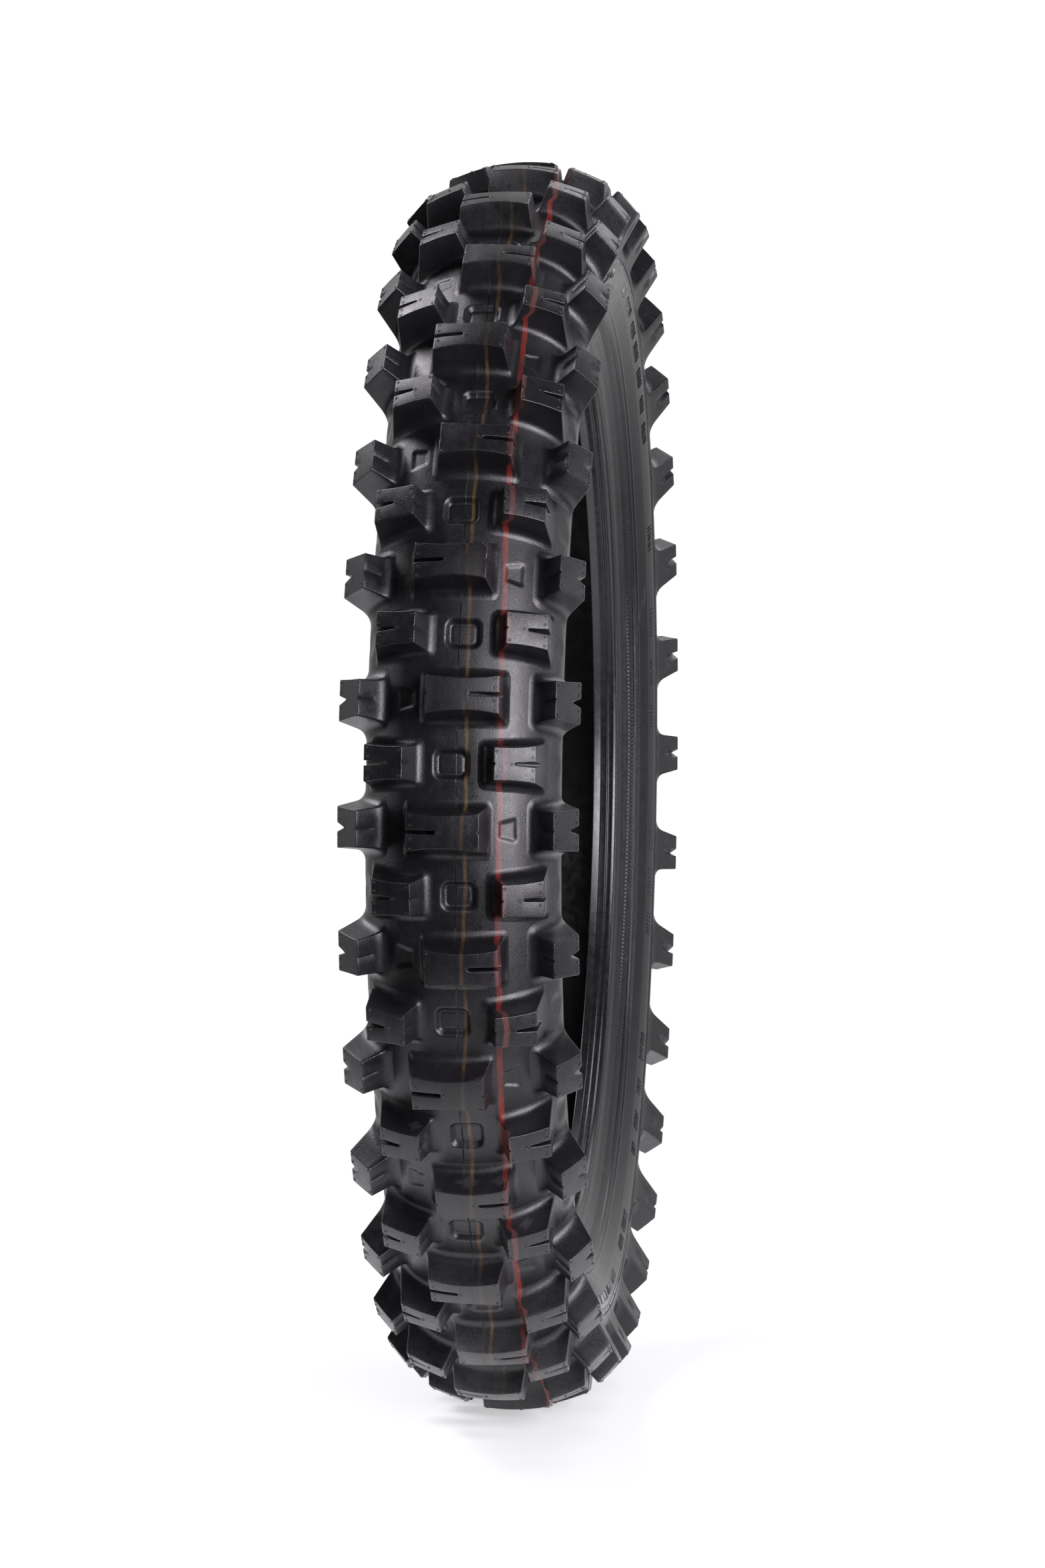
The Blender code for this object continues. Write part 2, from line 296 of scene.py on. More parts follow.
def rubber(name, dark=(0.0066, 0.0063, 0.0077), light=(0.0114, 0.0108, 0.0132),
           rough=(0.265, 0.365), grain=0.80, marks=False, lathe_lines=False, swell=1.0,
           dust=0.22, tooth=0.22, fleck=0.18):
    t = Tree(name)
    cloud = t.noise(38.0, 4.0, 0.6)
    fine = t.noise(1900.0, 2.0, 0.7)
    blot = t.noise(210.0, 3.0, 0.6)
    col = t.mix(t.ramp(cloud, 0.3, 0.72), dark, light)
    # bloom: a faint dusty film in patches
    film = t.m("MULTIPLY", t.ramp(blot, 0.52, 0.75), t.ramp(cloud, 0.45, 0.7))
    col = t.mix(t.m("MULTIPLY", film, dust), col, (0.034, 0.032, 0.036))
    # specks
    specks = t.ramp(t.noise(900.0, 2.0, 0.8), 0.66, 0.74)
    col = t.mix(t.m("MULTIPLY", specks, fleck), col, (0.040, 0.038, 0.042))
    # sharp convex edges are painted lighter: partly edge wear, partly a painted highlight along the
    # edges
    geo = t.t.nodes.new("ShaderNodeNewGeometry")
    edge = t.ramp(geo.outputs["Pointiness"], 0.515, 0.60)
    edge = t.m("MULTIPLY", edge, t.ramp(blot, 0.25, 0.6, 0.35, 1.0))
    col = t.mix(t.m("MULTIPLY", edge, 0.45), col, (0.060, 0.057, 0.064))
    rgh = t.m("ADD", t.ramp(blot, 0.3, 0.75, rough[0], rough[1]),
              t.m("MULTIPLY", t.m("SUBTRACT", fine, 0.5), tooth))
    rgh = t.m("SUBTRACT", rgh, t.m("MULTIPLY", edge, 0.10))
    height = fine
    nrm = t.bump(cloud, 0.20 * swell, 0.0009)
    nrm = t.bump(blot, 0.10 * swell, 0.0003, nrm)
    if marks:
        th, rad = t.theta(), t.radius()
        lat = t.m("MULTIPLY", t.y, 1000.0)
        for amp, k, ph in WANDER:
            w = t.m("SINE", t.m("MULTIPLY_ADD", th, float(k), ph))
            lat = t.m("MULTIPLY_ADD", w, -amp, lat)
        high = t.ramp(rad, 0.3300, 0.3345)
        bw = t.m("MULTIPLY_ADD", t.m("COSINE", t.m("MULTIPLY", th, 32.0)), -0.5, 0.5)
        # slow drift of the coloured identification lines
        drift = t.m("MULTIPLY", t.m("SUBTRACT", t.noise(9.0, 1.0), 0.5), 5.0)
        jag = t.m("MULTIPLY", t.m("SUBTRACT", t.noise(120.0, 3.0), 0.5), 1.5)

        def stripe(centre, half, soft, lo, hi, seed):
            off = t.m("SUBTRACT", t.m("SUBTRACT", lat, centre), t.m("ADD", drift, jag))
            a = t.m("ABSOLUTE", off)
            body = t.ramp(a, half + soft, half - soft)
            body = t.ramp(a, half - soft, half + soft, 1.0, 0.0)
            wear = t.ramp(t.noise(26.0 + seed, 4.0, 0.7), lo, hi, 0.25, 1.0)
            return t.m("MULTIPLY", body, wear)

        up = t.m("MULTIPLY", high, t.m("MULTIPLY_ADD", bw, 3.4, 0.6))
        red = stripe(t.m("ADD", up, 20.8), 1.25, 0.35, 0.30, 0.62, 3.0)
        och = stripe(4.55, 0.85, 0.30, 0.34, 0.66, 9.0)
        crown = t.ramp(rad, 0.3135, 0.3190)
        red = t.m("MULTIPLY", t.m("MULTIPLY", red, crown), t.m("MULTIPLY_ADD", high, -0.22, 0.66))
        och = t.m("MULTIPLY", t.m("MULTIPLY", och, crown), t.m("MULTIPLY_ADD", high, -0.26, 0.50))
        # the red stripe is painted paler and pinker on knob tops: a painted sheen over the stripe
        red_with_painted_top_sheen = t.mix(high, (0.225, 0.026, 0.016), (0.205, 0.058, 0.052))
        col = t.mix(red, col, red_with_painted_top_sheen)
        col = t.mix(och, col, (0.165, 0.100, 0.032))
        # the parting line itself: its hairline crack is painted near-black, a painted shade in the
        # crack, fainter on knob tops
        ragged = t.m("MULTIPLY", t.m("SUBTRACT", t.noise(420.0, 3.0, 0.7), 0.5), 0.9)
        al = t.m("ABSOLUTE", t.m("ADD", lat, ragged))
        ln = t.ramp(al, 0.34, 0.66, 1.0, 0.0)
        torn = t.ramp(t.noise(180.0, 3.0, 0.8), 0.38, 0.55)
        low = t.m("MULTIPLY_ADD", high, -0.72, 1.0)
        ln = t.m("MULTIPLY", t.m("MULTIPLY", ln, low), t.m("MULTIPLY_ADD", torn, 0.55, 0.45))
        ln = t.m("MULTIPLY", ln, crown)
        col = t.mix(t.m("MULTIPLY", ln, 0.9), col, (0.002, 0.002, 0.002))
        rgh = t.m("ADD", rgh, t.m("MULTIPLY", ln, 0.30))
    if lathe_lines:
        rad = t.radius()
        rings = t.m("SINE", t.m("MULTIPLY", rad, 5200.0))
        height = t.m("ADD", height, t.m("MULTIPLY", rings, 0.10))
        # faint mould scratches running round
        scr = t.ramp(t.noise(340.0, 2.0, 0.6), 0.6, 0.8)
        rgh = t.m("ADD", rgh, t.m("MULTIPLY", scr, 0.08))
    nrm = t.bump(height, grain, 0.00016, nrm)
    t.put(t.b.inputs["Base Color"], col)
    t.put(t.b.inputs["Roughness"], t.m("ADD", rgh, 0.0, clamp=True))
    t.put(t.b.inputs["Normal"], nrm)
    t.b.inputs["Specular IOR Level"].default_value = 0.64
    return t.mat


def cord_fabric(name, a, b, lean=1.0, pitch=0.0011):
    """Rubberised cord: threads run at a bias, as ridges with colour between."""
    t = Tree(name)
    u = t.m("MULTIPLY", t.theta(), 0.32)
    v = t.m("MULTIPLY", t.y, lean)
    ph = t.m("MULTIPLY", t.m("ADD", u, v), 2 * math.pi / pitch)
    ridge = t.m("MULTIPLY_ADD", t.m("SINE", ph), 0.5, 0.5)
    fuzz = t.noise(2600.0, 2.0)
    col = t.mix(t.m("MULTIPLY", ridge, t.ramp(fuzz, 0.3, 0.7, 0.5, 1.0)), a, b)
    t.put(t.b.inputs["Base Color"], col)
    t.put(t.b.inputs["Roughness"], t.ramp(fuzz, 0.3, 0.7, 0.6, 0.85))
    t.put(t.b.inputs["Normal"], t.bump(t.m("ADD", ridge, t.m("MULTIPLY", fuzz, 0.3)),
                                       0.6, 0.0003))
    return t.mat


def wire_metal(name):
    t = Tree(name)
    strands = t.m("SINE", t.m("MULTIPLY", t.y, 2 * math.pi / 0.00096))
    tone = t.noise(160.0, 3.0)
    t.put(t.b.inputs["Base Color"], t.mix(tone, (0.42, 0.30, 0.15), (0.62, 0.47, 0.27)))
    t.b.inputs["Metallic"].default_value = 1.0
    t.put(t.b.inputs["Roughness"], t.ramp(tone, 0.3, 0.7, 0.28, 0.45))
    t.put(t.b.inputs["Normal"], t.bump(strands, 0.8, 0.0003))
    return t.mat


M_TREAD = rubber("tread_rubber_look", marks=True)
M_SIDE = rubber("sidewall_rubber_look", dark=(0.0065, 0.0062, 0.0078),
                light=(0.0105, 0.0100, 0.0125), rough=(0.19, 0.26), grain=0.03, swell=0.16, dust=0.05,
                tooth=0.04, fleck=0.03)
M_CUSH = rubber("rim_cushion_look", dark=(0.006, 0.006, 0.007),
                light=(0.0105, 0.0102, 0.0122), rough=(0.24, 0.34), grain=0.06, swell=0.3,
                dust=0.10, tooth=0.08, fleck=0.06)
M_LINER = rubber("liner_look", dark=(0.010, 0.010, 0.011), light=(0.020, 0.020, 0.022),
                 rough=(0.42, 0.62), grain=0.4)
M_BASE = rubber("tread_base_look", dark=(0.014, 0.014, 0.015), light=(0.03, 0.03, 0.031),
                rough=(0.5, 0.7))
M_FILL = rubber("bead_filler_look", dark=(0.016, 0.016, 0.017), light=(0.03, 0.03, 0.03),
                rough=(0.5, 0.7))
M_CARC = cord_fabric("carcass_cord_look", (0.018, 0.015, 0.012), (0.16, 0.125, 0.08), 1.0)
M_BREAK = cord_fabric("breaker_cord_look", (0.02, 0.016, 0.012), (0.20, 0.15, 0.09), -1.3,
                      0.0014)
M_WRAP = cord_fabric("bead_wrap_look", (0.03, 0.026, 0.02), (0.20, 0.17, 0.12), 0.6, 0.0008)
M_CHAF = cord_fabric("chafer_look", (0.014, 0.013, 0.012), (0.09, 0.08, 0.07), 0.9, 0.0009)
M_WIRE = wire_metal("bead_wire_look")

# ------------------------------------------------------------ hidden layers


def offset(path, dist):
    p = np.asarray(path, float)
    d = np.diff(p, axis=0)
    d /= np.hypot(d[:, 0], d[:, 1])[:, None]
    n = np.c_[d[:, 1], -d[:, 0]]
    out = []
    for i in range(len(p)):
        if i == 0:
            m, k = n[0], 1.0
        elif i == len(p) - 1:
            m, k = n[-1], 1.0
        else:
            m = n[i - 1] + n[i]
            m = m / np.hypot(*m)
            k = 1.0 / max(0.45, float(m @ n[i - 1]))
        out.append(p[i] + m * dist * k)
    return np.array(out)


def lane(path, d0, d1):
    return np.r_[offset(path, d0), offset(path, d1)[::-1]]


def whole(half):
    return [(-y, r) for y, r in half[:0:-1]] + half


CROWN = [(0.0, 318.0), (20.5, 315.2), (33.4, 307.6), (41.0, 298.6),
         (43.2, 288.5), (40.6, 278.0), (34.6, 268.3)]
BEAD_IN = [(24.3, 259.3), (17.4, 252.2), (17.4, 247.6)]
BEAD_UNDER = [(18.9, 245.9), (22.3, 245.9), (24.0, 247.8)]
TURN_UP = [(24.6, 253.6)]
PLY, GAP = 0.7, 0.3
ply2 = whole(CROWN + BEAD_IN + BEAD_UNDER + TURN_UP + [(27.6, 258.8)])
ply1 = whole(CROWN + BEAD_IN + BEAD_UNDER + TURN_UP + [(29.0, 261.0)])
liner = whole(CROWN + BEAD_IN)
belt = whole(CROWN[:3])
belt_wide = whole(CROWN[:3] + [(36.6, 303.8)])
BASE_D = 3 * GAP + 2.0
base_path = whole([(0.0, 318.0), (20.5, 315.2), (33.4, 307.6), (37.4, 302.9)])
CORE = [(18.5, 247.8), (19.6, 247.0), (21.8, 247.0), (22.9, 247.8),
        (22.9, 251.1), (21.8, 251.9), (19.6, 251.9), (18.5, 251.1)]
WRAP = ([(18.2, 252.2), (18.2, 247.65), (19.45, 246.7), (21.95, 246.7),
         (23.2, 247.65), (23.2, 252.2)]
        + [(17.75, 252.2), (17.75, 247.45), (19.3, 246.25), (22.1, 246.25),
           (23.6, 247.95), (23.6, 252.2)][::-1])
FILLER = [(18.35, 252.6), (23.85, 252.6), (25.55, 256.3), (27.0, 258.7),
          (26.9, 260.9), (24.75, 258.9)]
CHAFER_PATH = BEAD_UNDER + TURN_UP + [(25.2, 254.7)]
CHAFER = lane([(18.2, 246.7)] + CHAFER_PATH, 2 * (PLY + GAP), 2 * (PLY + GAP) + 0.6)
CUSH_IN = offset([(17.9, 247.05)] + CHAFER_PATH, 2 * (PLY + GAP) + 0.9)


def show(ob, node):
    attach(ob, "root")
    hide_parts(node)
    return ob


SEG_IN = 256
for node, sec, mat, slot in (
        ("carcass_ply_outer", lane(ply2, 0.0, PLY), M_CARC, "carcass_cord"),
        ("carcass_ply_inner", lane(ply1, PLY + GAP, 2 * PLY + GAP), M_CARC, "carcass_cord"),
        ("inner_liner", lane(liner, 2 * (PLY + GAP), 2 * (PLY + GAP) + 0.6), M_LINER,
         "liner_rubber"),
        ("breaker_ply_inner", lane(belt_wide, -(GAP + 1.0), -GAP), M_BREAK, "breaker_cord"),
        ("breaker_ply_outer", lane(belt, -(2 * GAP + 2.0), -(2 * GAP + 1.0)), M_BREAK,
         "breaker_cord"),
        ("tread_base", lane(base_path, -(BASE_D + 1.3), -BASE_D), M_BASE,
         "tread_base_rubber")):
    m = Mesh()
    spin(m, sec, SEG_IN)
    show(m.obj(node + "_ring", mat), node)
for side, sg in (("right", 1), ("left", -1)):
    for node, sec, mat, slot in (("bead_core", CORE, M_WIRE, "bead_wire"),
                                 ("bead_wrap", WRAP, M_WRAP, "bead_wrap_fabric"),
                                 ("bead_filler", FILLER, M_FILL, "bead_filler_rubber"),
                                 ("chafer", CHAFER, M_CHAF, "chafer_fabric")):
        m = Mesh()
        s2 = np.array(sec, float) * (sg, 1)
        spin(m, s2, SEG_IN)
        show(m.obj("%s_%s_ring" % (node, side), mat), "%s_%s" % (node, side))

# ------------------------------------------------------------- rim cushions
SEAT = [(14.35, 245.5), (13.35, 241.6), (13.85, 240.05), (17.9, 241.45), (18.3, 241.35),
        (21.1, 241.55), (21.35, 240.95), (21.95, 240.95), (22.3, 241.7), (22.7, 242.0),
        (24.7, 242.0), (25.1, 241.35), (26.9, 241.9), (28.1, 243.2)]
FACE = smooth_path([(28.1, 243.2), (28.2, 249.2), (28.75, 251.2), (29.75, 253.6),
                    (31.62, 256.55)], 1.3)[::3]
CUSH = np.r_[rounded(SEAT + [tuple(FACE[2])], 0.55, 4)[:-1], FACE[2:-1], [(31.62, 256.55)], [(29.4, 256.6)], CUSH_IN[::-1][0:5], [(15.2, 244.0)]]
for side, sg in (("right", 1), ("left", -1)):
    m = Mesh()
    spin(m, CUSH * (sg, 1), 640)
    show(m.obj("rim_cushion_%s_ring" % side, M_CUSH, 32), "rim_cushion_" + side)

# ---------------------------------------------------------------- sidewalls
SPLIT_R = 289.6                     # where the tread cap's skirt ends
S_SPLIT = s_at_r(SPLIT_R)
S_END = float(CAS_S[-1])


def bump_line(s, at, half, high):
    d = np.abs(s - at) / half
    return high * np.clip(1.0 - d, 0, 1) ** 0.6


def side_relief(s):
    """Height of the sidewall's turned detail over the casing line, mm."""
    h = np.zeros_like(s)
    h -= 0.35 * np.clip((S_SPLIT + 1.2 - s) / 1.2, 0, 1)
    h += bump_line(s, s_at_r(286.6), 0.65, 0.42)       # ring under the knobs
    h += bump_line(s, s_at_r(275.5), 0.6, 0.08)
    h += bump_line(s, s_at_r(267.3), 0.70, 0.30)       # fitting line
    h += bump_line(s, s_at_r(264.9), 0.60, 0.16)
    # shallow channel that holds the ribbed band
    a, b = s_at_r(263.4), s_at_r(257.6)
    h -= 0.35 * np.clip((s - a) / 0.5, 0, 1) * np.clip((b - s) / 0.5, 0, 1)
    return h


SIDE_IN = [(29.7, 256.95), (30.8, 259.6), (31.9, 262.6), (35.1, 267.7),
           (41.2, 277.7), (43.7, 288.4), (44.9, 289.4)]
ss = np.linspace(S_SPLIT - 0.6, S_END, 118)
yy, rr = cas(ss)
ny, nr = cas_n(ss)
hh = side_relief(ss)
SIDE = np.r_[np.c_[yy + ny * hh, rr + nr * hh], SIDE_IN]


def bars(mesh, sg, items):
    """Raised bars on the sidewall: (theta, s0, s1, width, height)."""
    faces = []
    for th, s0, s1, w, h in items:
        sarr = np.array([s0, s0 + 0.25, s1 - 0.25, s1])
        y, r = cas(sarr)
        ny, nr = cas_n(sarr)
        lift = np.array([0.0, h, h, 0.0]) + side_relief(sarr) * np.array([1, 1, 1, 1])
        half_top = np.array([0.32, 0.32, 0.32, 0.32]) * w
        pts = []
        for dt, lf in ((-0.5 * w, -0.25), (-1, None), (1, None), (0.5 * w, -0.25)):
            if lf is None:
                off = dt * half_top / r
                yy_, rr_ = y + ny * lift, r + nr * lift
            else:
                off = np.full(4, dt) / r
                lo = side_relief(sarr) + lf
                yy_, rr_ = y + ny * lo, r + nr * lo
            pts.append(turn(yy_ * sg, rr_, th + off))
        P = np.array(pts).transpose(1, 0, 2)       # along s, across
        idx = np.arange(16).reshape(4, 4)
        f = []
        for i in range(3):
            for j in range(3):
                f.append((idx[i, j], idx[i, j + 1], idx[i + 1, j + 1], idx[i + 1, j]))
        f.append(tuple(idx[0, ::-1]))
        f.append(tuple(idx[3, :]))
        mesh.add(P.reshape(-1, 3), f, flip=sg < 0)


def tick_groups(seed):
    """Generic raised hatch pads where a moulding has its raised marks."""
    rng = np.random.default_rng(seed)
    out = []
    s0, s1 = s_at_r(283.6), s_at_r(278.4)
    th = 0.15
    while th < 2 * math.pi - 0.1:
        n = int(rng.integers(5, 11))
        for _ in range(n):
            out.append((th, s0 + rng.uniform(0, 0.6), s1 - rng.uniform(0, 0.6),
                        rng.choice([0.7, 1.1]), 0.45))
            th += rng.choice([0.0066, 0.0088])
        th += rng.uniform(0.02, 0.05) if rng.random() < 0.72 else rng.uniform(0.12, 0.3)
    return out


for side, sg in (("right", 1), ("left", -1)):
    m = Mesh()
    spin(m, SIDE * (sg, 1), 600)
    ribs = [(k * 2 * math.pi / 672, s_at_r(262.9), s_at_r(258.1), 1.9, 0.09)
            for k in range(672)]
    fine = [(k * 2 * math.pi / 64 + 0.01, s_at_r(288.4), s_at_r(287.1), 0.7, 0.30)
            for k in range(64)]
    bars(m, sg, ribs + fine + tick_groups(5 if sg > 0 else 8))
    show(m.obj("sidewall_%s_ring" % side, M_SIDE, 40), "sidewall_" + side)

# ------------------------------------------------------ tread cap: the band
N_TH = 2560
th = TH_A + np.arange(N_TH) * 2 * math.pi / N_TH
s_edge = S_SPLIT
coarse = np.r_[np.arange(1.4, 33.0, 0.7), np.arange(33.0, s_edge, 1.0)]
near = np.array([0.0, 0.15, 0.30, 0.55, 0.9])
pos = np.unique(np.r_[near, coarse, s_edge])
sg_ = np.r_[-pos[:0:-1], pos]


def smooth(x):
    x = np.clip(x, 0, 1)
    return x * x * (3 - 2 * x)


def rect_dist(a, b, ha, hb, rc):
    """Signed distance to a rounded rectangle, negative inside, mm."""
    qa, qb = np.abs(a) - ha + rc, np.abs(b) - hb + rc
    return (np.hypot(np.maximum(qa, 0), np.maximum(qb, 0))
            + np.minimum(np.maximum(qa, qb), 0) - rc)


S, T = np.meshgrid(sg_, th, indexing="ij")
near_w = np.clip(1.0 - np.abs(S) / 6.0, 0, 1)
S = S + wander(T) * near_w
Yc, Rc = cas(S)
depth = np.zeros_like(S)
rel = (T - TH_A) / PITCH
ka = np.round(rel)                                  # nearest wide row
ta = (rel - ka) * PITCH * Rc
par = np.where(ka.astype(int) % 2 == 0, -1.0, 1.0)
kb = np.floor(rel)                                  # narrow row after wide row kb
tb = (rel - kb - 0.5) * PITCH * Rc
parb = np.where(kb.astype(int) % 2 == 0, -1.0, 1.0)
sh = B_SHIFT * parb
# rounded square between each pair of narrow-row knobs
d = rect_dist(S - sh, tb, 9.2, 7.7, 4.6)
depth += 2.7 * smooth(-d / 2.6)
depth += 0.35 * np.clip(1 - np.abs(d + 2.7) / 0.9, 0, 1)
# tapered pocket on the open side of each wide block
side_y = (-par * 26.0 - S) * -par                   # + towards the shoulder
half_t = 6.5 - 1.15 * smooth((side_y + 4.5) / 9.0) * 1.6
d = rect_dist(side_y, ta * 6.5 / half_t, 5.4, 6.5, 2.1)
depth += 0.95 * smooth(-d / 2.6)
# leaf pockets on the shoulders, outside the narrow-row knobs
for sgn in (-1, 1):
    u = (S * sgn - (s_at_y(45.4) + 3.0)) / 7.4
    v = tb / (7.2 - 2.6 * np.clip(u, -1, 1))
    q = np.sqrt(u * u + v * v)
    depth += 1.0 * smooth((1.0 - q) / 0.75)
# hairline gap at the parting line
depth += 0.85 * (np.abs(sg_[:, None]) < 0.2) * (0.55 + 0.45 * np.sin(31 * th + 2 * np.sin(13 * th)))
# slow unevenness of a moulded valley floor
depth += 0.035 * np.sin(9 * T + 0.13 * S) * np.cos(0.21 * S + 5 * T)
fade = smooth((s_edge - np.abs(S)) / 1.5)
depth *= fade
NY, NR = cas_n(S)
outer = turn(Yc - NY * depth, Rc - NR * depth, T)
CAP_IN = dense(whole([(0.0, 322.8), (21.5, 319.9), (36.6, 311.2), (42.6, 303.4),
                      (45.5, 297.9), (46.1, 290.2)]), 9.0)[::-1]
ring_in = turn(CAP_IN[:, None, 0], CAP_IN[:, None, 1], th[None, :])
band = Mesh()
band.grid(np.concatenate([outer, ring_in]), wrap_i=True, wrap_j=True)
show(band.obj("tread_cap_band", M_TREAD, 50), "tread_cap")

# -------------------------------------------------------- tread cap: knobs


def outline(L, ha, hb, waist, slot_len, mouth, neck, nick, rc=0.8, n1=6, n2=5):
    """Knob outline in its top plane, x from the plain end to the cut end."""
    def half(x):
        return ha + (hb - ha) * x / L - waist * max(0.0, math.sin(math.pi * x / L)) ** 0.85

    xs = L - slot_len
    cols = (list(np.linspace(rc, xs - 0.9, n1))
            + list(np.linspace(xs + 0.9, L - rc, n2)))
    plain, cut, kind = [], [], []

    def put(p, c=None, k=0):
        plain.append(p)
        cut.append(c or p)
        kind.append(k)
        return len(plain) - 1

    def width(x):
        return 0.5 * (neck + (mouth - neck) * (x - xs) / slot_len)

    F = [put((x, -half(x))) for x in cols]
    h1, h0 = half(L), half(0)
    end_f = [put((L - rc + rc * math.sin(a), -h1 + rc - rc * math.cos(a)))
             for a in (0.5, 1.05)]
    end_f += [put((L, -h1 + rc)), put((L, -0.5 * (h1 + mouth / 2)))]
    inlet_c = [(L, -mouth / 2)]
    inlet_c += [(x, -width(x)) for x in cols[:n1 - 1:-1]]
    inlet_c += [(xs + 0.12 * neck, -0.36 * neck), (xs, 0.0), (xs + 0.12 * neck, 0.36 * neck)]
    inlet_c += [(x, width(x)) for x in cols[n1:]]
    inlet_c += [(L, mouth / 2)]
    spread = np.linspace(-mouth / 2, mouth / 2, len(inlet_c))
    I = [put((L, float(tt)), c, 1) for tt, c in zip(spread, inlet_c)]
    end_r = [put((L, 0.5 * (h1 + mouth / 2))), put((L, h1 - rc))]
    end_r += [put((L - rc + rc * math.sin(a), h1 - rc + rc * math.cos(a)))
              for a in (1.05, 0.5)]
    R = [put((x, half(x))) for x in cols[::-1]][::-1]
    pl = [put((rc - rc * math.sin(a), h0 - rc + rc * math.cos(a))) for a in (0.5, 1.05)]
    pl += [put((0, h0 - rc)), put((0, 0.45 * h0))]
    pl += [put((0, 1.0), (0, 1.0), 2), put((0.0, 0.0), (nick, 0.0), 2),
           put((0, -1.0), (0, -1.0), 2)]
    pl += [put((0, -0.45 * h0)), put((0, -h0 + rc))]
    pl += [put((rc - rc * math.sin(a), -h0 + rc - rc * math.cos(a))) for a in (1.05, 0.5)]
    sf = I[1:1 + n2][::-1]                 # by rising x
    tip = I[1 + n2:4 + n2]
    sr = I[4 + n2:4 + 2 * n2]
    cap = []
    for j in range(n1 - 1):
        cap.append((F[j], F[j + 1], R[j + 1], R[j]))
    cap.append((F[n1 - 1], F[n1], sf[0], *tip, sr[0], R[n1], R[n1 - 1]))
    for j in range(n2 - 1):
        cap.append((F[n1 + j], F[n1 + j + 1], sf[j + 1], sf[j]))
        cap.append((sr[j], sr[j + 1], R[n1 + j + 1], R[n1 + j]))
    cap.append((F[-1], *end_f, I[0], sf[-1]))
    cap.append((sr[-1], I[-1], *end_r, R[-1]))
    cap.append((R[0], *pl, F[0]))
    return (np.array(plain, float), np.array(cut, float), np.array(kind), cap, half)


def mitres(p):
    e = np.roll(p, -1, 0) - p
    e /= np.maximum(np.hypot(e[:, 0], e[:, 1]), 1e-9)[:, None]
    n = np.c_[e[:, 1], -e[:, 0]]
    m = n + np.roll(n, 1, 0)
    ln = np.hypot(m[:, 0], m[:, 1])
    m /= np.maximum(ln, 1e-9)[:, None]
    k = 1.0 / np.maximum(0.55, np.sum(m * n, 1))
    return m * k[:, None]


NUB = [(1.12, -0.10), (1.02, 0.10), (0.82, 0.11), (0.66, -0.02), (0.42, -0.02),
       (0.36, 0.30), (0.22, 0.42)]


